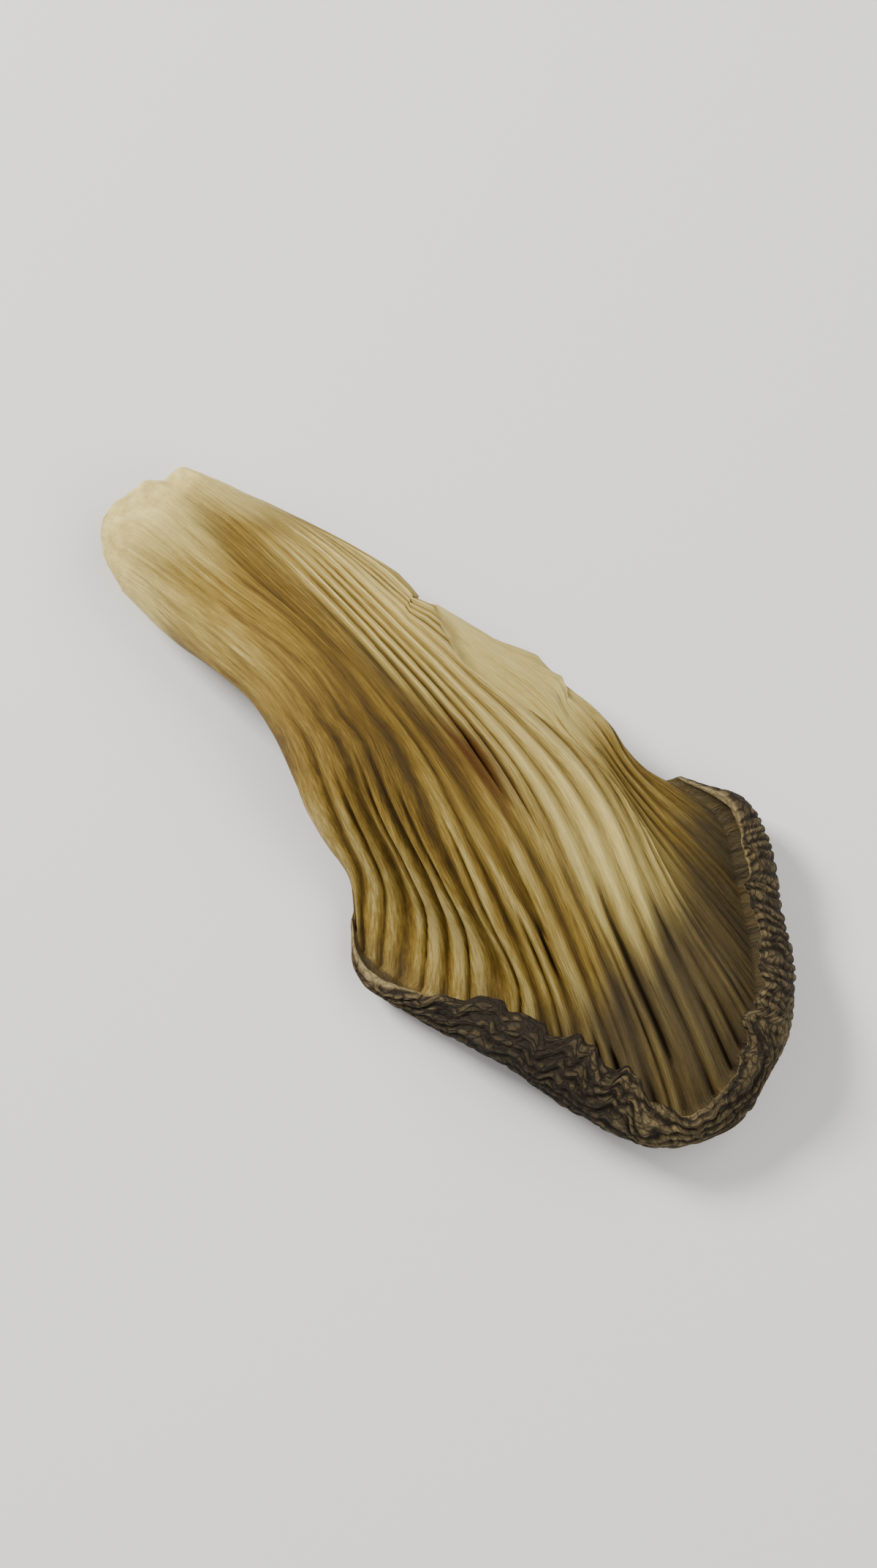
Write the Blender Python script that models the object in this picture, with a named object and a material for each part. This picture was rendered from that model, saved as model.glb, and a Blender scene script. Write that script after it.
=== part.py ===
"""A dried oyster mushroom that lies on its cap skin with the gills up.

It grew as one piece, so it is one solid. Metres, +Z up. The stem's end is at -X and the front of the cap
at +X. The origin is under the middle of the mushroom's box, on the surface that it lies on.

The form is worked out in millimetres from shares. Along runs from the stem's end (0) to where the margin
rolls (1). Across counts the gills from the left (0) to the right (1), and side is how far a gill then lies
from the left edge (0) to the right edge (1), because down the stem the gills draw together at the right.
"""

import math

import bmesh
import bpy
import numpy as np

METRES = 0.001

# How thick the flesh is, along the gills.
THICKNESS_AT = [0, 0.45, 0.7, 0.88, 1]
THICKNESS = [8.2, 8.2, 6.0, 3.0, 1.5]
EDGE_THICKNESS = 0.5
STEM_END_ROUNDING = 0.12

# The arch of the stem off the floor, the bulge of the gills, and the waves that the margin stands on.
STEM_ARCH = 2.9
STEM_TWIST = 0.7
EDGE_DROOP = 1.2
GILL_BULGE = 1.3
MARGIN_WAVE = 1.4
MARGIN_WAVES = 3

# The margin rolls up over the gills.
ROLL_RADIUS = 2.6
SHOULDER_RADIUS = 1.2

# The right edge of the stem: a notch, and the torn tip of the flap behind it.
NOTCH_DEPTH = 1.7
TORN_TIP = 0.9

# The large folds on the gill side.
RIDGE_HEIGHT = 1.1
VALLEY_DEPTH = 1.0
FLAP_DEPTH = 1.2

# The main gills, lower where they run close together down the stem.
GILLS = 24
GILL_HEIGHT_ON_STEM = 0.15
GILL_HEIGHT_ON_CAP = 0.45

# The outline from above, x along the stem and y across it.
STEM_END = [(2.2, -5.3), (-1.3, -3.6), (-2.1, 0.4), (-1.2, 4.6), (3.0, 6.7)]
LEFT_EDGE = [(2.2, -5.3), (9, -5.7), (16, -5.2), (23.6, -6.9), (28.6, -8.9), (33.2, -13)]
RIGHT_EDGE = [(3, 6.7), (10, 8.4), (20, 9.3), (30.5, 10.7), (38, 10.6), (44.8, 12.6)]
MARGIN = [
    (33.2, -13),
    (36.4, -15.3),
    (43, -14.9),
    (50, -13.8),
    (56.4, -13),
    (62, -10.9),
    (65.2, -6.4),
    (65.4, -1),
    (62.8, 5),
    (56, 11),
    (50.4, 14),
    (44.8, 12.6),
]

# Which way the margin rolls at its two ends.
LEFT_SHOULDER_WAY = (0.5, -0.87)
RIGHT_SHOULDER_WAY = (0.6, 0.8)

# How finely the form is cut up.
COLUMNS = 4 * GILLS
GILL_ROWS = 22
ROLL_ROWS = 7
ROLL_START = GILL_ROWS / (GILL_ROWS + ROLL_ROWS)


def remove_all():
    for obj in list(bpy.data.objects):
        bpy.data.objects.remove(obj)


def smooth_step(low, high, value):
    share = np.clip((value - low) / (high - low), 0, 1)
    return share * share * (3 - 2 * share)


def bell(middle, width, value):
    return np.exp(-(((value - middle) / width) ** 2))


def smooth_line(points, share):
    """The places at these shares of the length of a smooth curve through the points."""
    corners = np.array(points, float)
    ends = np.vstack([2 * corners[0] - corners[1], corners, 2 * corners[-1] - corners[-2]])
    t = np.linspace(0, 1, 24, endpoint=False)[:, None]
    spans = [
        b + (c - a) * t / 2 + (2 * a - 5 * b + 4 * c - d) * t**2 / 2 + (3 * b - a - 3 * c + d) * t**3 / 2
        for a, b, c, d in zip(ends, ends[1:], ends[2:], ends[3:])
    ]
    line = np.vstack([*spans, corners[-1:]])
    run = np.concatenate([[0], np.cumsum(np.linalg.norm(np.diff(line, axis=0), axis=1))])
    return np.stack([np.interp(share * run[-1], run, axis) for axis in line.T], -1)


def straight_mix(left, right, across):
    return left + (right - left) * across[:, None]


def curl(across):
    """How much the margin rolls up: most on the left lip, less at the front and nothing at the shoulders."""
    shoulders = smooth_step(-0.02, 0.26, across) * (1 - smooth_step(0.84, 1.02, across))
    return shoulders * (1 - 0.3 * bell(0.52, 0.1, across) - 0.25 * smooth_step(0.6, 0.75, across))


def roll_radius(across):
    return SHOULDER_RADIUS + (ROLL_RADIUS - SHOULDER_RADIUS) * curl(across)


def roll_angle(across):
    return np.radians(60 + 145 * curl(across))


def margin_start(across):
    """Where the margin starts to roll, and the way out from there, seen from above."""
    outermost = smooth_line(MARGIN, across)
    before = smooth_line(MARGIN, np.clip(across - 0.03, 0, 1))
    step = smooth_line(MARGIN, np.clip(across + 0.03, 0, 1)) - before
    outward = np.stack([step[:, 1], -step[:, 0]], -1) / np.linalg.norm(step, axis=1)[:, None]
    at_left = 1 - smooth_step(0, 0.2, across)
    at_right = smooth_step(0.82, 1, across)
    outward *= (1 - at_left - at_right)[:, None]
    outward += at_left[:, None] * LEFT_SHOULDER_WAY + at_right[:, None] * RIGHT_SHOULDER_WAY
    outward /= np.linalg.norm(outward, axis=1)[:, None]
    reach = roll_radius(across) * np.sin(np.minimum(roll_angle(across), math.pi / 2))
    reach += THICKNESS[-1] / 2 * curl(across)
    return outermost - outward * reach[:, None], outward


def plan(side, along):
    """The place of a point seen from above."""
    edges = straight_mix(smooth_line(LEFT_EDGE, along), smooth_line(RIGHT_EDGE, along), side)
    start = smooth_line(STEM_END, side) - straight_mix(np.array(STEM_END[0]), np.array(STEM_END[-1]), side)
    finish = margin_start(side)[0] - straight_mix(np.array(MARGIN[0]), np.array(MARGIN[-1]), side)
    place = edges + start * (1 - along[:, None]) ** 5 + finish * along[:, None] ** 2.3
    bend = 5 * bell(0.24, 0.2, side) * along**2.2 * (1 - along)
    notch = NOTCH_DEPTH * smooth_step(0.36, 0.43, along) * (1 - smooth_step(0.43, 0.45, along))
    torn_tip = TORN_TIP * smooth_step(0.56, 0.66, along) * (1 - smooth_step(0.66, 0.69, along))
    edge = (torn_tip - notch) * smooth_step(0.7, 1, side)
    return place + bend[:, None] * [0.5, 0.85] + edge[:, None] * [0, 1]


def middle_height(side, along):
    """The height of the middle of the flesh."""
    stem = THICKNESS[0] / 2 + STEM_ARCH * smooth_step(0.1, 0.5, along)
    wave = 0.5 - 0.5 * np.cos(2 * math.pi * MARGIN_WAVES * (side - 0.14))
    margin = THICKNESS[-1] / 2 + MARGIN_WAVE * wave
    cap = smooth_step(0.55, 1, along)
    height = stem * (1 - cap) + margin * cap
    height += GILL_BULGE * bell(0.45, 0.28, side) * bell(0.74, 0.16, along)
    height += STEM_TWIST * (1 - 2 * side) * bell(0.22, 0.2, along)
    height -= EDGE_DROOP * smooth_step(0.1, 0.4, along) * (1 - cap) * np.abs(2 * side - 1) ** 3
    return height


def fullness(side, along):
    """0 at the edges and 1 inside: the section is round on the stem and flat on the cap."""
    squareness = 2 + 10 * smooth_step(0.45, 0.95, along)
    across = (1 - np.abs(2 * side - 1) ** squareness) ** 0.5
    stem_end = (1 - np.clip(1 - along / STEM_END_ROUNDING, 0, 1) ** 2.4) ** 0.5
    return across * stem_end


def share_along(row):
    """Rows stand closer together at the stem's end and at the margin."""
    share = np.clip(row / ROLL_START, 0, 1)
    return share - 0.6 * np.sin(2 * math.pi * share) / (2 * math.pi)


def gill_line(across, along):
    """Where a gill lies between the two edges."""
    crowding = 1 + 1.9 * (1 - along)
    return 0.4 * across + 0.6 * (1 - (1 - across) ** crowding)


def unrolled(side, along):
    return np.column_stack([plan(side, along), middle_height(side, along)])


def unrolled_normal(side, along):
    """The way up out of the flesh, which is straight up where the margin starts to roll."""
    step = 0.004
    over = unrolled(np.minimum(side + step, 1), along) - unrolled(np.maximum(side - step, 0), along)
    ahead = unrolled(side, np.minimum(along + step, 1)) - unrolled(side, np.maximum(along - step, 0))
    normal = np.cross(ahead, over)
    normal /= np.linalg.norm(normal, axis=1)[:, None]
    upright = smooth_step(0.75, 1, along)[:, None]
    normal += (np.array([0, 0, 1]) - normal) * upright
    return normal / np.linalg.norm(normal, axis=1)[:, None]


def folds(side, along):
    """The gill side's large folds: the main ridge, the valley beside it and the sunken flap behind it."""
    length = smooth_step(0.1, 0.3, along) * (1 - smooth_step(0.7, 0.96, along))
    left = 0.65 - 0.05 * smooth_step(0.3, 0.55, along)
    right = 0.95 - 0.18 * smooth_step(0.42, 0.54, along)
    place = (side - left) / (right - left)
    ridge = smooth_step(-0.15, 0.1, place) * (1 - smooth_step(0.92, 1.12, place))
    flap = smooth_step(1, 1.1, place) * smooth_step(0.43, 0.45, along) * (1 - smooth_step(0.66, 0.8, along))
    return length * (RIDGE_HEIGHT * ridge - VALLEY_DEPTH * bell(0.52, 0.06, side)) - FLAP_DEPTH * flap


def gills(across, along):
    """The main gills, which fade out at the stem's end, at the right edge and where the margin rolls."""
    height = GILL_HEIGHT_ON_STEM + (GILL_HEIGHT_ON_CAP - GILL_HEIGHT_ON_STEM) * along
    height *= smooth_step(0.03, 0.2, along) * (1 - smooth_step(0.92, 1, along))
    height *= 1 - 0.9 * smooth_step(0.65, 0.95, across)
    return height * np.cos(2 * math.pi * GILLS * across)


def skin_points(row, across, gill_side):
    """Places for the points of a unit slab, whose gill_side is 1 on the gills and 0 on the cap skin."""
    along = share_along(row)
    side = gill_line(across, along)
    full = fullness(side, along)
    half = EDGE_THICKNESS / 2 + (np.interp(along, THICKNESS_AT, THICKNESS) - EDGE_THICKNESS) / 2 * full
    relief = (folds(side, along) + gills(across, along)) * full
    offset = np.where(gill_side > 0.5, half + relief, -half)[:, None]
    turned = (np.clip((row - ROLL_START) / (1 - ROLL_START), 0, 1) * roll_angle(across))[:, None]
    outward = np.column_stack([margin_start(across)[1], np.zeros(len(across))])
    upward = np.array([0, 0, 1])
    radius = roll_radius(across)[:, None]
    middle = unrolled(side, along) + radius * (np.sin(turned) * outward + (1 - np.cos(turned)) * upward)
    normal = np.cos(turned) * unrolled_normal(side, along) - np.sin(turned) * outward
    points = middle + normal * offset
    low, high = points.min(0), points.max(0)
    return points - [(low[0] + high[0]) / 2, (low[1] + high[1]) / 2, low[2]]


def unit_slab(mesh):
    """A closed slab of points, one long, one wide and one thick."""
    form = bmesh.new()
    bmesh.ops.create_grid(form, x_segments=GILL_ROWS + ROLL_ROWS, y_segments=COLUMNS, size=0.5)
    bmesh.ops.translate(form, vec=(0.5, 0.5, 1), verts=form.verts)
    pulled = bmesh.ops.extrude_face_region(form, geom=form.faces[:], use_keep_orig=True)
    lower = [item for item in pulled["geom"] if isinstance(item, bmesh.types.BMVert)]
    bmesh.ops.translate(form, vec=(0, 0, -1), verts=lower)
    bmesh.ops.recalc_face_normals(form, faces=form.faces)
    form.to_mesh(mesh)
    form.free()


def dried_flesh():
    material = bpy.data.materials.new("dried_flesh")
    material.use_nodes = True
    shader = material.node_tree.nodes["Principled BSDF"]
    shader.inputs["Base Color"].default_value = (0.36, 0.25, 0.09, 1)
    shader.inputs["Roughness"].default_value = 0.75
    shader.inputs["Metallic"].default_value = 0
    return material


def mushroom(collection):
    mesh = bpy.data.meshes.new("mushroom")
    unit_slab(mesh)
    slab = np.zeros(len(mesh.vertices) * 3)
    mesh.vertices.foreach_get("co", slab)
    points = skin_points(*slab.reshape(-1, 3).T) * METRES
    mesh.vertices.foreach_set("co", points.ravel())
    mesh.shade_smooth()
    obj = bpy.data.objects.new("mushroom", mesh)
    obj.data.materials.append(dried_flesh())
    collection.objects.link(obj)


def main():
    remove_all()
    collection = bpy.data.collections.new("dried_oyster_mushroom")
    bpy.context.scene.collection.children.link(collection)
    mushroom(collection)


main()
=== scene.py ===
"""The looks of a dried oyster mushroom that lies on its cap skin with its gills up."""

import math

import bpy
import numpy as np
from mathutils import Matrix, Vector


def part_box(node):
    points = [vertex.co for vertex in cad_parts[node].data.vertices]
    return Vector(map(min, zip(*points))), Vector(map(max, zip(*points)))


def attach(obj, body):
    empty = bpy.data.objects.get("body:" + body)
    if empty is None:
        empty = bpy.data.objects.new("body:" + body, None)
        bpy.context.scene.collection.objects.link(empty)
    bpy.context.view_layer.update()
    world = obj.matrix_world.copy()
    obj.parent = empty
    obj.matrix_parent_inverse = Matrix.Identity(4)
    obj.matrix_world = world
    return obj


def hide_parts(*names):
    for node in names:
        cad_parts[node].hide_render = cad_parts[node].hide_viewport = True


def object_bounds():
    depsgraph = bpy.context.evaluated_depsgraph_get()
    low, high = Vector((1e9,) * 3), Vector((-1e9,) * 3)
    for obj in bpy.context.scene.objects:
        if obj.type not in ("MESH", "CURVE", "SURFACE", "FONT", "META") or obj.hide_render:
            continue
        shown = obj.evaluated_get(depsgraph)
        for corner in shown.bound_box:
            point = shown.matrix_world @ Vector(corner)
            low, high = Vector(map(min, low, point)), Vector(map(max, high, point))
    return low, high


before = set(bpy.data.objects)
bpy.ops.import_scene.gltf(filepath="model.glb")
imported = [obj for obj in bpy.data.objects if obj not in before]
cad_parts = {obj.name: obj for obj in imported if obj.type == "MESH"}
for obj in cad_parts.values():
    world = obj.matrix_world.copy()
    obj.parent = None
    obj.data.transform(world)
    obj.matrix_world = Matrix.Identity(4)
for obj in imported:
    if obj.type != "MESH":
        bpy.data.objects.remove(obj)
CAD_LOW, CAD_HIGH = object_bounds()

METRES = 0.001

# How finely the mushroom is cut up: across the gills, along them, and round the rolled margin.
COLUMNS = 460
GILL_ROWS = 84
ROLL_ROWS = 54
ROWS = GILL_ROWS + ROLL_ROWS
ROLL_START = GILL_ROWS / ROWS

# The flesh, in millimetres.
THICKNESS_AT = [0, 0.45, 0.7, 0.88, 1]
THICKNESS = [8.2, 8.2, 6.0, 3.0, 1.5]
EDGE_THICKNESS = 0.35
STEM_END_ROUNDING = 0.12
STEM_ARCH = 2.9
STEM_TWIST = 0.7
EDGE_DROOP = 1.2
GILL_BULGE = 1.3
MARGIN_WAVE = 1.4
MARGIN_WAVES = 3
ROLL_RADIUS = 2.6
SHOULDER_RADIUS = 1.2

# How far the margin turns over, in degrees: at its two shoulders, and how much more in between.
SHOULDER_TURN = 60
ROLL_TURN = 145
LEFT_SHOULDER_WAY = (0.5, -0.87)
RIGHT_SHOULDER_WAY = (0.6, 0.8)

# The torn right edge, and how far the left gills bow out of their straight course, in millimetres.
NOTCH_DEPTH = 1.7
TORN_TIP = 0.9
FLAP_DEPTH = 1.2
GILL_BOW = 5
GILL_BOW_WAY = (0.5, 0.85)

# How far the gills, the skin of the roll and the map of the roll are laid out, in millimetres.
GILLS_WIDTH = 66
GILLS_LENGTH = 60
ROLL_SKIN_LENGTH = 9
ROLL_MAP_LENGTH = 8

# Shares of the length: where the notch in the right edge ends and the flap begins.
NOTCH_END = (0.43, 0.45)

# The width of a strand of the main ridge, as a share of the width across all the gills.
STRAND_WIDTH = 0.034

# Places on the gills that have a colour of their own, x and y in millimetres as for the outline, and the
# x about which the painted shade at the front rises.
STAIN_PLACE = (33.4, 1.8)
PALE_PLACE = (47, 3.6)
FRONT_SHADE_X = 52

# The outline from above, x along the stem and y across it.
STEM_END = [(2.2, -5.3), (-1.3, -3.6), (-2.1, 0.4), (-1.2, 4.6), (3.0, 6.7)]
LEFT_EDGE = [(2.2, -5.3), (9, -5.7), (16, -5.2), (23.6, -6.9), (28.6, -8.9), (33.2, -13)]
RIGHT_EDGE = [(3, 6.7), (10, 8.4), (20, 9.3), (30.5, 10.7), (38, 10.6), (44.8, 12.6)]
MARGIN = [
    (33.2, -13),
    (36.4, -15.3),
    (43, -14.9),
    (50, -13.8),
    (56.4, -13),
    (62, -10.9),
    (65.2, -6.4),
    (65.4, -1),
    (62.8, 5),
    (56, 11),
    (50.4, 14),
    (44.8, 12.6),
]

# Colours as a screen shows them, from 0 to 255. A ramp gives each colour its place from 0 to 1.
GOLD_RAMP = [
    (0.0, (68, 49, 12)),
    (0.3, (101, 76, 20)),
    (0.6, (137, 110, 42)),
    (0.8, (157, 132, 64)),
    (1.0, (186, 163, 98)),
]
SKIN_RAMP = [(0.0, (34, 26, 13)), (0.25, (62, 51, 29)), (0.55, (96, 82, 53)), (0.9, (142, 125, 86))]
DEEP_CREAM, LIGHT_CREAM = (174, 148, 72), (246, 226, 144)
DEEP_SHADE, LIGHT_SHADE = (54, 44, 24), (84, 70, 42)
STAIN_BROWN = (96, 58, 13)
FLOOR_COLOUR = (226, 224, 219)

# The studio, in metres, degrees, millimetres of lens and watts.
FLOOR_SIZE = 3
CAMERA_AZIMUTH, CAMERA_ELEVATION, CAMERA_DISTANCE = 41.3, 78, 0.285
CAMERA_LENS = 85
SOFTBOXES = [
    {"name": "key", "place": (-0.36, -0.03, 0.31), "size": 0.14, "watts": 3.6},
    {"name": "fill", "place": (0.4, 0.05, 0.4), "size": 0.5, "watts": 2.0},
    {"name": "top", "place": (0.1, 0.35, 0.5), "size": 0.4, "watts": 1.4},
]
SKY_COLOUR, SKY_STRENGTH = (0.9, 0.92, 1, 1), 0.35

# How many chance values there are, each way in a pattern and in a row, before they come round again.
PATTERN_SIZE = 97
CHANCES = 256


# ---- numbers ----


def smooth_step(low, high, value):
    """0 up to low, 1 from high on, and a smooth rise between them."""
    share = np.clip((value - low) / (high - low), 0, 1)
    return share * share * (3 - 2 * share)


def bell(middle, width, value):
    """1 at the middle, and nearly 0 at twice the width from it."""
    return np.exp(-(((value - middle) / width) ** 2))


def wander(seed, x, y):
    """A smooth value from -1 to 1 that changes about once in each unit of x and y.

    Each seed gives a pattern of its own, the same in every run.
    """
    table = np.random.default_rng(seed).uniform(-1, 1, (PATTERN_SIZE, PATTERN_SIZE))
    column, row = np.floor(x).astype(int), np.floor(y).astype(int)
    across, up = smooth_step(0, 1, x - column), smooth_step(0, 1, y - row)
    left, right = column % PATTERN_SIZE, (column + 1) % PATTERN_SIZE
    low, high = row % PATTERN_SIZE, (row + 1) % PATTERN_SIZE
    bottom = table[left, low] * (1 - across) + table[right, low] * across
    top = table[left, high] * (1 - across) + table[right, high] * across
    return bottom * (1 - up) + top * up


def chance(seed, number):
    """A value from 0 to 1 for each whole number, the same in every run."""
    return np.random.default_rng(seed).uniform(0, 1, CHANCES)[number.astype(int) % CHANCES]


def smooth_line(points, share):
    """The places at these shares of the length of a smooth curve through the points."""
    corners = np.array(points, float)
    ends = np.vstack([2 * corners[0] - corners[1], corners, 2 * corners[-1] - corners[-2]])
    t = np.linspace(0, 1, 24, endpoint=False)[:, None]
    spans = [
        b + (c - a) * t / 2 + (2 * a - 5 * b + 4 * c - d) * t**2 / 2 + (3 * b - a - 3 * c + d) * t**3 / 2
        for a, b, c, d in zip(ends, ends[1:], ends[2:], ends[3:])
    ]
    line = np.vstack([*spans, corners[-1:]])
    run = np.concatenate([[0], np.cumsum(np.linalg.norm(np.diff(line, axis=0), axis=1))])
    return np.stack([np.interp(share * run[-1], run, axis) for axis in line.T], -1)


def straight_mix(left, right, across):
    """Places on the straight line from left to right."""
    return left + (right - left) * across[:, None]


# ---- the form ----


def curl(across):
    """How strongly the margin rolls in: hardly at its two ends, and most left of the front."""
    shoulders = smooth_step(-0.02, 0.26, across) * (1 - smooth_step(0.84, 1.02, across))
    return shoulders * (1 - 0.3 * bell(0.52, 0.1, across) - 0.25 * smooth_step(0.6, 0.75, across))


def roll_radius(across):
    """The radius that the middle of the flesh rolls round, in millimetres."""
    return SHOULDER_RADIUS + (ROLL_RADIUS - SHOULDER_RADIUS) * curl(across)


def roll_angle(across):
    """How far the margin turns over, in radians."""
    return np.radians(SHOULDER_TURN + ROLL_TURN * curl(across))


def margin_start(across):
    """Where the roll starts, as seen from above, and which way points out of the cap there."""
    outermost = smooth_line(MARGIN, across)
    before = smooth_line(MARGIN, np.clip(across - 0.03, 0, 1))
    step = smooth_line(MARGIN, np.clip(across + 0.03, 0, 1)) - before
    outward = np.stack([step[:, 1], -step[:, 0]], -1) / np.linalg.norm(step, axis=1)[:, None]
    at_left = 1 - smooth_step(0, 0.2, across)
    at_right = smooth_step(0.82, 1, across)
    outward *= (1 - at_left - at_right)[:, None]
    outward += at_left[:, None] * LEFT_SHOULDER_WAY + at_right[:, None] * RIGHT_SHOULDER_WAY
    outward /= np.linalg.norm(outward, axis=1)[:, None]
    reach = roll_radius(across) * np.sin(np.minimum(roll_angle(across), math.pi / 2))
    reach += THICKNESS[-1] / 2 * curl(across)
    return outermost - outward * reach[:, None], outward


def plan(side, along):
    """Where the flesh lies from above before its margin is rolled, in millimetres.

    Side goes from 0 at the left edge to 1 at the right, and along from 0 at the stem to 1 at the margin.
    """
    edges = straight_mix(smooth_line(LEFT_EDGE, along), smooth_line(RIGHT_EDGE, along), side)
    stem_corners = np.array(STEM_END[0]), np.array(STEM_END[-1])
    cap_corners = np.array(MARGIN[0]), np.array(MARGIN[-1])
    start = smooth_line(STEM_END, side) - straight_mix(*stem_corners, side)
    finish = margin_start(side)[0] - straight_mix(*cap_corners, side)
    place = edges + start * (1 - along[:, None]) ** 5 + finish * along[:, None] ** 2.3
    bow = GILL_BOW * bell(0.24, 0.2, side) * along**2.2 * (1 - along)
    notch = NOTCH_DEPTH * smooth_step(0.36, 0.43, along) * (1 - smooth_step(*NOTCH_END, along))
    torn_tip = TORN_TIP * smooth_step(0.56, 0.66, along) * (1 - smooth_step(0.66, 0.69, along))
    edge = (torn_tip - notch) * smooth_step(0.7, 1, side)
    ragged = 0.7 * wander(64, side * 6, along * 6) + 0.3 * wander(65, side * 17, along * 9)
    place += bow[:, None] * GILL_BOW_WAY + edge[:, None] * [0, 1]
    return place + (ragged * (1 - along) ** 9)[:, None] * [1, 0]


def middle_height(side, along):
    """How high the middle of the flesh is before its margin is rolled, in millimetres."""
    stem = THICKNESS[0] / 2 + STEM_ARCH * smooth_step(0.1, 0.5, along)
    wave = 0.5 - 0.5 * np.cos(2 * math.pi * MARGIN_WAVES * (side - 0.14))
    margin = THICKNESS[-1] / 2 + MARGIN_WAVE * wave
    cap = smooth_step(0.55, 1, along)
    height = stem * (1 - cap) + margin * cap
    height += GILL_BULGE * bell(0.45, 0.28, side) * bell(0.74, 0.16, along)
    height += STEM_TWIST * (1 - 2 * side) * bell(0.22, 0.2, along)
    height -= EDGE_DROOP * smooth_step(0.1, 0.4, along) * (1 - cap) * np.abs(2 * side - 1) ** 3
    return height


def fullness(side, along):
    """1 where the flesh has its whole thickness, and 0 at the side edges and the stem's end."""
    squareness = 2 + 10 * smooth_step(0.45, 0.95, along)
    across = (1 - np.abs(2 * side - 1) ** squareness) ** 0.5
    stem_end = (1 - np.clip(1 - along / STEM_END_ROUNDING, 0, 1) ** 2.4) ** 0.5
    return across * stem_end


def unrolled(side, along):
    """Points in the middle of the flesh before its margin is rolled."""
    return np.column_stack([plan(side, along), middle_height(side, along)])


def unrolled_normal(side, along):
    """Which way points out of the gills before the margin is rolled."""
    step = 0.004
    over = unrolled(np.minimum(side + step, 1), along) - unrolled(np.maximum(side - step, 0), along)
    ahead = unrolled(side, np.minimum(along + step, 1)) - unrolled(side, np.maximum(along - step, 0))
    normal = np.cross(ahead, over)
    normal /= np.linalg.norm(normal, axis=1)[:, None]
    upright = smooth_step(0.75, 1, along)[:, None]
    normal += (np.array([0, 0, 1]) - normal) * upright
    return normal / np.linalg.norm(normal, axis=1)[:, None]


def gill_line(across, along):
    """Where a gill runs between the two edges: down the stem the gills draw towards the right edge."""
    crowding = 1 + 1.9 * (1 - along)
    return 0.12 * across + 0.88 * (1 - (1 - across) ** crowding)


# ---- the gills ----


def gill_number(across):
    """How many gills lie to the left: broad ones on the left, fine ones on the right."""
    shares = np.linspace(0, 1, 401)
    per_share = 18 + 40 * smooth_step(0.5, 0.74, shares)
    count = np.concatenate([[0], np.cumsum((per_share[1:] + per_share[:-1]) / 2 * np.diff(shares))])
    return np.interp(across, shares, count)


def gill_profile(phase):
    """From a narrow groove (0) over a leaning crest (1) to a groove, once in each unit of phase."""
    number = np.floor(phase)
    share = (phase - number) ** (0.65 + 0.8 * chance(3, number))
    return 1 - np.abs(2 * share - 1) ** 2.6


def gill_spacing(across, along):
    """How far apart neighbouring gills run, in millimetres."""
    step = 0.004
    left, right = np.maximum(across - step, 0), np.minimum(across + step, 1)
    gap = plan(gill_line(right, along), along) - plan(gill_line(left, along), along)
    return np.linalg.norm(gap, axis=1) / (gill_number(right) - gill_number(left))


def gill_crest(across, along):
    """How near to a crest a point of the gill side is. Gills fork where they would get too wide."""
    phase = gill_number(across) + 64
    phase += 0.25 * wander(11, phase * 0.45, along * 4) + 0.07 * wander(12, phase * 1.1, along * 12)
    wanted = 1.7 - 0.6 * smooth_step(0.5, 0.7, across)
    level = np.log2(wanted / np.maximum(gill_spacing(across, along), 0.02))
    level = np.clip(level + 0.55 * wander(13, phase * 0.8, along * 2.5), -1, 4)
    lower = np.floor(level)
    shift = smooth_step(0.25, 0.75, level - lower)
    fine = gill_profile(phase * 2.0**-lower)
    broad = gill_profile(phase * 2.0 ** -(lower + 1))
    return fine * broad * (1 - shift) + broad * shift


def ridge_length(along):
    """1 along the main ridge, fading to 0 at the stem's end and at the margin."""
    return smooth_step(0.1, 0.3, along) * (1 - smooth_step(0.7, 0.96, along))


def ridge_place(side, along):
    """How far across the main ridge a point lies, from 0 at its left foot to 1 at its right one."""
    left = 0.65 - 0.05 * smooth_step(0.3, 0.55, along)
    right = 0.95 - 0.18 * smooth_step(0.42, 0.54, along)
    return (side - left - 0.007 * wander(31, along * 7, along * 0)) / (right - left)


def strand_relief(across, side, along):
    """Sharp strands (above 0) and dark slits between them (below 0) on the main ridge."""
    place = across / STRAND_WIDTH
    place += 0.65 * wander(36, place * 0.45, along * 1.4) + 0.2 * wander(37, place * 1.3, along * 3)
    number = np.floor(place)
    share = place - number
    strand = (0.12 + 0.56 * chance(34, number)) * bell(0.54, 0.22, share)
    slit = (0.15 + 0.85 * chance(35, number)) * bell(0.08, 0.13, share)
    slit *= 1 + 1.2 * bell(0.6, 0.14, along)
    strength = 1 + 0.85 * wander(32, along * 3, number * 7.3)
    shown = smooth_step(0.17, 0.37, along) * (1 - smooth_step(0.76, 0.96, along))
    ridge = ridge_place(side, along)
    shown *= smooth_step(-0.3, 0.0, ridge) * (1 - smooth_step(0.96, 1.08, ridge))
    shown *= 1 - smooth_step(0.86, 0.94, side) * bell(0.42, 0.05, along)
    return shown * strength * (strand - slit)


def flap_share(side, along):
    """1 on the flap that comes out from behind the main ridge at the right edge, and 0 elsewhere."""
    length = smooth_step(*NOTCH_END, along) * (1 - smooth_step(0.66, 0.8, along))
    return smooth_step(1.0, 1.1, ridge_place(side, along)) * length


def cap_share(along):
    """0 on the stem and 1 on the cap, as the skin and the colours take them."""
    return smooth_step(0.35, 0.6, along)


def stem_end(along):
    """1 on the torn end of the stem, and 0 from a little way up it."""
    return 1 - smooth_step(0.01, 0.1, along)


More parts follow.
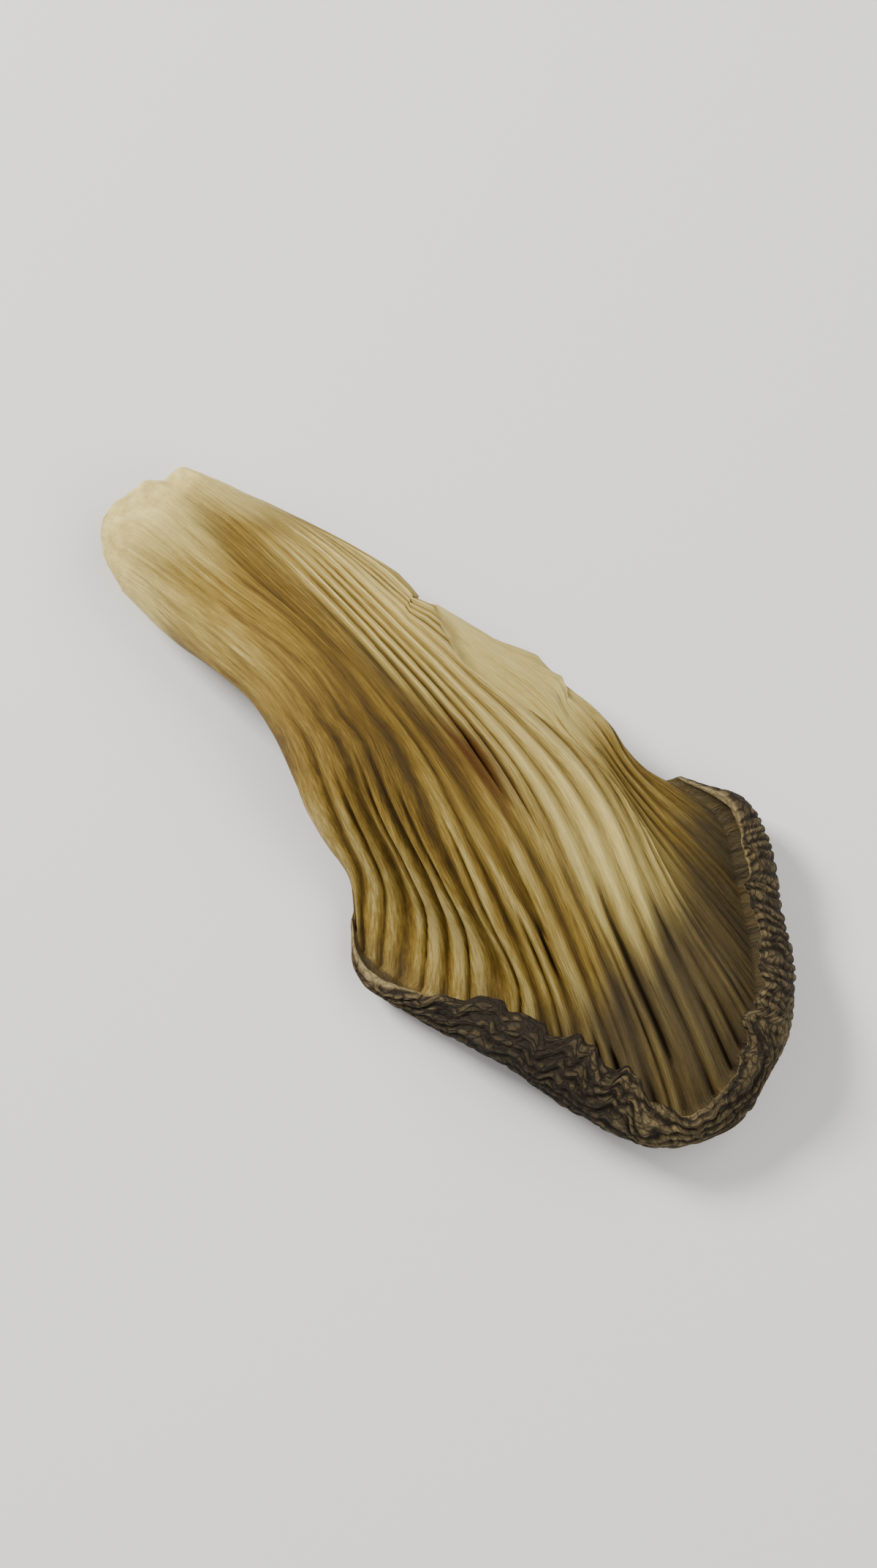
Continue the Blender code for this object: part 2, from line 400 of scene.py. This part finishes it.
def gill_relief(across, side, along, turned):
    """How far the gill side stands out of the plain form, and how light each point is, with painted
    shade and painted highlight.
    """
    crest = gill_crest(across, along)
    number = gill_number(across)
    fine = smooth_step(0.5, 0.75, across)
    cap = smooth_step(0.4, 0.74, along)
    under_lip = 1 - smooth_step(0.0, 0.5, turned)
    at_right_rim = fine * smooth_step(0.8, 0.97, along)
    in_front = bell(0.5, 0.16, across) * smooth_step(0.72, 0.9, along)
    length = ridge_length(along)
    ridge = ridge_place(side, along)
    ridge = smooth_step(-0.15, 0.1, ridge) * (1 - smooth_step(0.92, 1.12, ridge)) * length
    valley = bell(0.52, 0.06, side) * length
    brown = bell(0.42, 0.18, side) * smooth_step(0.2, 0.42, along) * (1 - smooth_step(0.54, 0.72, along))
    flap = flap_share(side, along)
    strands = strand_relief(across, side, along)

    # How deep the gills are, and where they are torn through at the front.
    depth = 0.1 + 0.66 * cap - 0.34 * fine * cap
    depth *= 0.95 + 0.6 * wander(21, number * 0.5, along * 4)
    depth *= smooth_step(0.02, 0.14, along) * under_lip * (1 - 0.6 * at_right_rim) * (1 - 0.8 * ridge)
    depth *= 1 - 0.4 * in_front
    torn = smooth_step(0.1, 0.4, wander(25, number * 0.9, along * 11)) * (1 - crest) ** 4
    torn *= bell(0.45, 0.17, across) * smooth_step(0.66, 0.82, along) * under_lip
    lines = wander(22, across * 64, along * 7) + 0.6 * wander(23, across * 140, along * 13)

    # How far each point stands out, in millimetres.
    relief = depth * (crest - 0.75) - 0.8 * torn
    relief += 0.8 * ridge - 1.0 * valley + 0.9 * strands - FLAP_DEPTH * flap
    relief += smooth_step(0.03, 0.2, along) * (0.3 * wander(41, across * 7, along * 5) + 0.07 * lines)
    relief += 0.22 * wander(42, number * 0.7, along * 3) * (1 - cap) * smooth_step(0.05, 0.2, along)
    relief += 0.5 * stem_end(along) * wander(44, across * 9, along * 26)
    relief += 0.3 * stem_end(along) * wander(45, across * 26, along * 60)

    # How light each point is: painted shade in the grooves, the valley, the slits and the torn openings,
    # painted highlight on the crests, the ridge and the strands, the flap's own cream raised further as
    # painted light, and the gills' own colour, which changes from place to place.
    contrast = (0.2 + 0.5 * cap) * (1 - 0.5 * at_right_rim) * under_lip * (1 - 0.8 * ridge)
    tone = 0.62 + (crest - 0.7) * contrast
    tone += 0.08 * lines + 0.14 * wander(43, across * 11, along * 6)
    tone += 0.8 * strands + 0.8 * np.minimum(strands, 0) + 0.16 * ridge
    tone -= 0.15 * valley + 0.24 * brown + 1.2 * torn
    tone -= 0.3 * bell(0.6, 0.14, along) * bell(0.15, 0.2, side)
    tone += 0.2 * bell(0.9, 0.12, along) * bell(0.34, 0.24, across) + 0.05 * cap * bell(0.3, 0.3, across)
    tone = tone * (1 - flap) + (1 + 0.1 * lines) * flap
    return relief, np.clip(tone, 0, 1)


# ---- the skin ----


def crease(seed, x, y):
    """1 in a sharp crease and near 0 on the soft swellings between creases."""
    return (1 - np.abs(wander(seed, x, y))) ** 3


def furrow(phase):
    """1 in a sharp furrow at each whole number of the phase, and near 0 between furrows."""
    return np.abs(np.cos(math.pi * phase)) ** 5


def skin_relief(across, along, turned):
    """How far the skin is drawn in by its wrinkles, and how deep in a crease each point is.

    Arc and run are millimetres across the skin and along it, so what they are divided by is a spacing.
    """
    arc = across * GILLS_WIDTH
    run = along * GILLS_LENGTH + turned * ROLL_SKIN_LENGTH
    cap = cap_share(along)
    lip = smooth_step(0.0, 0.25, turned)
    right = smooth_step(0.58, 0.72, across)
    drift = 1.5 * wander(51, arc / 9, run / 9) + 0.4 * wander(47, arc / 1.5, run / 8)
    sway = 1.1 * wander(55, arc / 3.5, run / 3) + 0.5 * wander(60, arc / 1.2, run / 1.1)
    folds = furrow(arc / 2.2 + drift) * (0.3 + 0.7 * wander(52, arc / 4, run / 9) ** 2)
    fine = crease(53, arc / 0.9 + drift, run / 3)
    cross = crease(54, arc / 2.6, run / 0.9 + drift)
    back = 0.5 * folds * (0.25 + 0.75 * cap) + 0.16 * fine * (0.5 + 0.5 * cap) + 0.12 * cross * cap
    along_lip = furrow(run / 0.95 + sway) + 0.5 * crease(57, arc / 0.9, run / 0.9)
    over_lip = furrow(arc / 0.85 + sway) + 0.6 * crease(59, arc / 1.1, run / 0.7)
    edge = 0.26 * along_lip * (1 - right) + 0.22 * over_lip * right
    relief = back * (1 - lip) + edge * lip
    swell = 0.2 * wander(48, arc / 3.4, run / 12) * cap * (1 - lip)
    swell += 0.25 * wander(58, arc / 4, run / 2.5) * lip
    swell -= 0.3 * stem_end(along) * wander(46, across * 12, along * 30)
    return relief + swell, np.clip(relief / 0.45, 0, 1) * (0.6 + 0.4 * lip)


# ---- putting the points in place ----


def mushroom_points(row, across, gill_side):
    """Points in millimetres from points of a unit slab, and what the material needs to know of them."""
    share = np.clip(row / ROLL_START, 0, 1)
    along = share - 0.6 * np.sin(2 * math.pi * share) / (2 * math.pi)
    turned = np.clip((row - ROLL_START) / (1 - ROLL_START), 0, 1)
    side = gill_line(across, along)
    full = fullness(side, along)
    full *= (1 - smooth_step(0.9, 1, turned) ** 2) ** 0.5
    half = EDGE_THICKNESS / 2 + (np.interp(along, THICKNESS_AT, THICKNESS) - EDGE_THICKNESS) / 2 * full
    relief, tone = gill_relief(across, side, along, turned)
    wrinkles, creased = skin_relief(across, along, turned)
    above = half + relief * full
    below = wrinkles * full - half
    offset = np.where(gill_side > 0.5, above, below)[:, None]
    still = np.zeros(len(across))
    ragged = 1 + 0.06 * wander(61, across * 26, still) + 0.05 * wander(62, across * 80, still)
    angle = (turned * roll_angle(across) * ragged)[:, None]
    outward = np.column_stack([margin_start(across)[1], still])
    upward = np.array([0, 0, 1])
    radius = (roll_radius(across) * (1 + 0.08 * wander(63, across * 14, turned * 2)))[:, None]
    middle = unrolled(side, along) + radius * (np.sin(angle) * outward + (1 - np.cos(angle)) * upward)
    normal = np.cos(angle) * unrolled_normal(side, along) - np.sin(angle) * outward
    marks = {
        "across": across,
        "side": side,
        "along": along,
        "turned": turned,
        "tone": tone,
        "creased": creased,
        "gill_side": gill_side,
    }
    return middle + normal * offset, marks


def unit_slab():
    """A closed slab one long, one wide and one thick, cut into columns and rows."""
    centre = (0.5, 0.5, 1)
    bpy.ops.mesh.primitive_grid_add(x_subdivisions=ROWS, y_subdivisions=COLUMNS, size=1, location=centre)
    bpy.ops.object.transform_apply(location=True, rotation=True, scale=True)
    bpy.ops.object.mode_set(mode="EDIT")
    bpy.ops.mesh.select_all(action="SELECT")
    bpy.ops.mesh.extrude_region_move(TRANSFORM_OT_translate={"value": (0, 0, -1)})
    bpy.ops.mesh.select_all(action="SELECT")
    bpy.ops.mesh.normals_make_consistent(inside=False)
    bpy.ops.mesh.select_all(action="DESELECT")
    bpy.ops.object.mode_set(mode="OBJECT")
    return bpy.context.object


def coarsen_back(obj):
    """Takes every second column and row out of the slab's back, as far as the rolled margin."""
    mesh = obj.data
    for edge in mesh.edges:
        start, end = (mesh.vertices[i].co for i in edge.vertices)
        if start.z + end.z < 0.5 and max(start.x, end.x) < ROLL_START + 0.5 / ROWS:
            row, column = round(start.x * ROWS), round(start.y * COLUMNS)
            runs_across = abs(start.x - end.x) < 0.5 / ROWS
            edge.select = (row if runs_across else column) % 2 == 1
    bpy.ops.object.mode_set(mode="EDIT")
    bpy.ops.mesh.select_mode(type="EDGE")
    bpy.ops.mesh.dissolve_edges(use_verts=True)
    bpy.ops.object.mode_set(mode="OBJECT")


def add_mark(mesh, name, values):
    """Gives each point of the mesh a value that the material reads by name."""
    mark = mesh.attributes.new(name, "FLOAT", "POINT")
    mark.data.foreach_set("value", np.asarray(values, np.float32))


def mushroom():
    """The whole mushroom, on the floor and centred on the solid's box."""
    bpy.ops.object.select_all(action="DESELECT")
    obj = unit_slab()
    coarsen_back(obj)
    obj.name = "mushroom_flesh"
    mesh = obj.data
    slab = np.zeros(len(mesh.vertices) * 3)
    mesh.vertices.foreach_get("co", slab)
    row, across, gill_side = slab.reshape(-1, 3).T
    points, marks = mushroom_points(row, across, gill_side)
    low, high = (np.array(corner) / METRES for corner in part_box("mushroom"))
    start = points.min(0)
    shift = [(low[0] + high[0] - start[0] - points[:, 0].max()) / 2]
    shift += [(low[1] + high[1] - start[1] - points[:, 1].max()) / 2, low[2] - start[2]]
    mesh.vertices.foreach_set("co", ((points + shift) * METRES).ravel())
    for name, values in material_marks(points, marks).items():
        add_mark(mesh, name, values)
    lay_out(mesh, marks)
    mesh.shade_smooth()
    mesh.update()
    return obj


def lay_out(mesh, marks):
    """A map along the gills and across them, in millimetres."""
    layout = mesh.uv_layers.new(name="along_gills")
    corners = np.zeros(len(mesh.loops), int)
    mesh.loops.foreach_get("vertex_index", corners)
    along = marks["along"] * GILLS_LENGTH + marks["turned"] * ROLL_MAP_LENGTH
    places = np.column_stack([marks["across"] * GILLS_WIDTH, along])[corners]
    layout.data.foreach_set("uv", places.astype(np.float32).ravel())


def material_marks(points, marks):
    """Where each finish and each painted shade or highlight shows: 0 where it doesn't, and about 1 where
    it does.
    """
    x, y = points[:, 0], points[:, 1]
    names = ("across", "side", "along", "turned", "tone", "creased", "gill_side")
    across, side, along, turned, tone, creased, gill_side = (marks[name] for name in names)
    outside = 1 - gill_side
    skin = outside * smooth_step(0.3, 0.5, along + 0.06 * wander(71, across * 20, along * 6))
    skin = np.maximum(skin, smooth_step(0.85, 1, turned))
    lip = smooth_step(0.0, 0.3, turned)
    stain_x, stain_y = STAIN_PLACE
    stain = bell(stain_x, 4.2, x) * bell(stain_y, 1.1, y - 0.12 * (34 - x)) * gill_side
    stain *= 0.75 + 0.6 * wander(76, across * 80, along * 7)
    pale_x, pale_y = PALE_PLACE
    # Cream: the patch and the stem's torn end are the flesh's own colour, and the left of the stem near
    # its end is lighter too; the flap's own cream is raised further as painted light, and the ridge and
    # its strands get painted highlight.
    pale = 0.75 * bell(pale_x, 5.5, x) * bell(pale_y, 2.8, y) + 1.2 * flap_share(side, along)
    pale += 0.25 * bell(0.5, 0.6, ridge_place(side, along)) * ridge_length(along)
    pale += 1.6 * np.clip(strand_relief(across, side, along), 0, 1)
    pale += 0.9 * (1 - smooth_step(0.02, 0.2, along + 0.05 * wander(72, across * 9, along * 9)))
    pale += 0.25 * bell(0.12, 0.12, side) * bell(0.2, 0.14, along)

    # The gills get painted shade towards the rim and the front, and all over under the roll; near the
    # margin it also stands for their own greyer colour.
    near_rim = smooth_step(0.92, 1, along + 0.03 * wander(73, across * 25, along * 3))
    dusk = near_rim * (0.4 + 0.6 * smooth_step(0.35, 0.6, across))
    front = x - FRONT_SHADE_X + np.where(y > 2, 0.07, 0.02) * (y - 2) ** 2
    front += 1.5 * wander(75, across * 40, along * 5)
    dusk = np.maximum(np.maximum(dusk, 0.9 * smooth_step(-3.5, 2.5, front)), lip)

    # The skin on the roll is dark, lighter in a band along the middle of the roll on the right and near
    # the left end and the middle of the lip, and darker a quarter of the way along it.
    roll_lightening = bell(0.44, 0.14, turned + 0.1 * wander(77, across * 30, along))
    roll_lightening *= 0.7 * smooth_step(0.55, 0.7, across)
    roll_lightening += (
        0.5 * bell(0.05, 0.08, across) - 0.8 * bell(0.25, 0.12, across) + 0.4 * bell(0.47, 0.1, across)
    )

    return {
        "tone": np.where(gill_side > 0.5, tone, 0.6),
        "skin": skin,
        "stain": stain,
        "pale": np.clip(pale, 0, 1.2),
        "dusk": np.clip(dusk, 0, 1) * gill_side,
        "crease": creased * outside,
        "dark_skin": lip * (1 - roll_lightening) * outside,
        "cap": cap_share(along),
        "stem_end": stem_end(along),
    }


# ---- materials ----


def linear(red, green, blue):
    """A colour as a screen shows it, from 0 to 255, turned into the values that a shader takes."""
    parts = [channel / 255 for channel in (red, green, blue)]
    return (*(part / 12.92 if part <= 0.04045 else ((part + 0.055) / 1.055) ** 2.4 for part in parts), 1)


class Value:
    """A number from a node's socket, which takes sums and products as Python writes them."""

    def __init__(self, nodes, socket):
        self.nodes = nodes
        self.socket = socket

    def maths(self, operation, *values):
        return self.nodes.add("ShaderNodeMath", {"operation": operation}, values)

    def __add__(self, other):
        return self.maths("ADD", self, other)

    def __sub__(self, other):
        return self.maths("SUBTRACT", self, other)

    def __rsub__(self, other):
        return self.maths("SUBTRACT", other, self)

    def __mul__(self, other):
        return self.maths("MULTIPLY", self, other)

    def clamped(self):
        return self.nodes.add("ShaderNodeClamp", {}, [self])

    __radd__ = __add__
    __rmul__ = __mul__


class Nodes:
    """The nodes of one material."""

    def __init__(self, name):
        self.material = bpy.data.materials.new(name)
        self.material.use_nodes = True
        self.tree = self.material.node_tree
        self.shader = self.tree.nodes["Principled BSDF"]

    def put(self, socket, value):
        if isinstance(value, Value):
            self.tree.links.new(value.socket, socket)
        else:
            socket.default_value = value

    def add(self, kind, settings, values, output=0):
        """Adds a node with these settings and inputs, and gives one of its outputs."""
        node = self.tree.nodes.new(kind)
        for name, value in settings.items():
            if name == "stops":
                self.set_stops(node.color_ramp, value)
            else:
                setattr(node, name, value)
        pairs = values.items() if isinstance(values, dict) else enumerate(values)
        for name, value in pairs:
            self.put(node.inputs[name], value)
        return Value(self, node.outputs[output])

    def set_stops(self, ramp, stops):
        while len(ramp.elements) < len(stops):
            ramp.elements.new(0.5)
        for element, (place, colour) in zip(ramp.elements, stops):
            element.position = place
            element.color = colour

    def mark(self, name):
        return self.add("ShaderNodeAttribute", {"attribute_name": name}, {}, "Fac")

    def mix(self, share, first, second):
        """The first colour where the share is 0, and the second where it is 1."""
        settings = {"data_type": "RGBA"}
        return self.add("ShaderNodeMix", settings, {0: share, 6: first, 7: second}, 2)

    def ramp(self, value, colours):
        stops = [(place, linear(*colour)) for place, colour in colours]
        return self.add("ShaderNodeValToRGB", {"stops": stops}, [value])

    def noise(self, place, scale, detail, roughness=0.5, output=0):
        values = {"Vector": place, "Scale": scale, "Detail": detail, "Roughness": roughness}
        return self.add("ShaderNodeTexNoise", {}, values, output)

    def net(self, place, scale):
        """How far each point is from the nearest line of a net of cells."""
        values = {"Vector": place, "Scale": scale}
        return self.add("ShaderNodeTexVoronoi", {"feature": "DISTANCE_TO_EDGE"}, values)

    def finish(self, **values):
        """Sets the shader's inputs, each named with _ for its spaces, and gives the material."""
        for name, value in values.items():
            self.put(self.shader.inputs[name.replace("_", " ")], value)
        return self.material


def flesh_material():
    """Gold gills with painted shade in their grooves, at the rim and the front, and painted highlight on
    their crests and the ridge's strands; cream in a patch, on the flap and at the stem; and a grey-brown
    wrinkled skin with painted shade in its creases and cracks.
    """
    nodes = Nodes("dried_flesh")
    tone, skin, stain, pale = (nodes.mark(name) for name in ("tone", "skin", "stain", "pale"))
    dusk, crease, dark_skin = (nodes.mark(name) for name in ("dusk", "crease", "dark_skin"))
    cap, torn_end = nodes.mark("cap"), nodes.mark("stem_end")
    layout = nodes.add("ShaderNodeUVMap", {"uv_map": "along_gills"}, {})
    place = nodes.add("ShaderNodeTexCoord", {}, {}, "Object")

    stretched = nodes.add("ShaderNodeMapping", {}, {"Vector": layout, "Scale": (1, 0.09, 1)})
    cap_fibres = nodes.noise(stretched, scale=4.5, detail=5.0, roughness=0.65)
    stem_fibres = nodes.noise(stretched, scale=1.8, detail=5.0, roughness=0.65)
    end_fibres = nodes.noise(place, scale=700.0, detail=5.0, roughness=0.65)
    stem_fibres = stem_fibres * (1 - torn_end) + end_fibres * torn_end
    fibres = cap_fibres * cap + stem_fibres * (1 - cap)
    streaks = nodes.noise(stretched, scale=0.5, detail=3.0)
    blotches = nodes.noise(place, scale=160.0, detail=4.0)
    grain = nodes.noise(place, scale=2600.0, detail=4.0, roughness=0.7)
    pores = nodes.net(place, scale=1500.0)

    drawn = nodes.add("ShaderNodeMapping", {}, {"Vector": layout, "Scale": (0.9, 1.9, 1)})
    bends = nodes.noise(drawn, scale=0.8, detail=2.0, output="Color")
    bent = nodes.add("ShaderNodeVectorMath", {"operation": "ADD"}, [drawn, bends])
    cracks = 1 - (nodes.net(bent, scale=1.2) * 6).clamped()

    # The gold and the shade ramps take this lightness, painted shade and painted highlight included.
    height = (tone + (fibres - 0.5) * 1.4 + (streaks - 0.5) * 0.4).clamped()
    gold = nodes.ramp(height, GOLD_RAMP)
    cream = nodes.mix(fibres, linear(*DEEP_CREAM), linear(*LIGHT_CREAM))
    gills = nodes.mix((pale * (0.35 + fibres * 1.1)).clamped(), gold, cream)
    gills = nodes.mix((stain * (0.5 + streaks)).clamped(), gills, linear(*STAIN_BROWN))
    shade = nodes.mix(height, linear(*DEEP_SHADE), linear(*LIGHT_SHADE))
    # Painted shade near the rim, at the front and under the roll, with the gills' greyer colour at the
    # margin.
    gills = nodes.mix((dusk * (0.5 + streaks)).clamped(), gills, shade)

    # The skin's blotches and grain are its own colour; its creases and cracks are darkened with painted
    # shade.
    tint = blotches * 0.6 + grain * 0.7 - crease * 0.9 - dark_skin * 0.3 + 0.16
    tint = (tint - cracks * (0.1 + dark_skin * 0.2)).clamped()
    colour = nodes.mix(skin, gills, nodes.ramp(tint, SKIN_RAMP))

    fibrous = {"Height": fibres * (1 - skin), "Strength": 0.8, "Distance": 0.0005}
    fibrous = nodes.add("ShaderNodeBump", {}, fibrous)
    skin_height = (grain * 0.5 + (pores * 3).clamped() * 0.3 - cracks * 0.5) * skin
    leathery = {"Height": skin_height, "Strength": 0.8, "Distance": 0.0003, "Normal": fibrous}
    return nodes.finish(
        Base_Color=colour,
        Roughness=0.6 + 0.2 * skin + (fibres - 0.5) * 0.2,
        Normal=nodes.add("ShaderNodeBump", {}, leathery),
        Specular_IOR_Level=0.25,
    )


def plain_material(name, colour, roughness):
    nodes = Nodes(name)
    return nodes.finish(Base_Color=colour, Roughness=roughness)


# ---- the studio ----


def floor():
    bpy.ops.object.select_all(action="DESELECT")
    bpy.ops.mesh.primitive_plane_add(size=FLOOR_SIZE)
    obj = bpy.context.object
    obj.name = "floor"
    obj.data.materials.append(plain_material("pale_floor", linear(*FLOOR_COLOUR), 0.9))


def softbox(name, place, size, watts, target):
    """A square light that faces the target."""
    light = bpy.data.lights.new(name, "AREA")
    light.energy = watts
    light.size = size
    obj = bpy.data.objects.new(name, light)
    bpy.context.scene.collection.objects.link(obj)
    obj.location = place
    obj.rotation_euler = (Vector(target) - Vector(place)).to_track_quat("-Z", "Y").to_euler()


def camera(low, high):
    """Looks steeply down on the gills, with the stem's end at the upper left."""
    azimuth, elevation = math.radians(CAMERA_AZIMUTH), math.radians(CAMERA_ELEVATION)
    level = math.cos(elevation)
    back = Vector((math.sin(azimuth) * level, -math.cos(azimuth) * level, math.sin(elevation)))
    data = bpy.data.cameras.new("camera")
    data.lens = CAMERA_LENS
    data.clip_start = 0.01
    obj = bpy.data.objects.new("camera", data)
    bpy.context.scene.collection.objects.link(obj)
    obj.location = (low + high) / 2 + back * CAMERA_DISTANCE
    obj.rotation_euler = (-back).to_track_quat("-Z", "Y").to_euler()
    bpy.context.scene.camera = obj


def studio(low, high):
    floor()
    for box in SOFTBOXES:
        softbox(**box, target=(low + high) / 2)
    world = bpy.data.worlds.new("world")
    world.use_nodes = True
    sky = world.node_tree.nodes["Background"]
    sky.inputs["Color"].default_value = SKY_COLOUR
    sky.inputs["Strength"].default_value = SKY_STRENGTH
    bpy.context.scene.world = world
    camera(low, high)


flesh = mushroom()
flesh.data.materials.append(flesh_material())
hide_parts("mushroom")
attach(flesh, "root")
studio(CAD_LOW, CAD_HIGH)
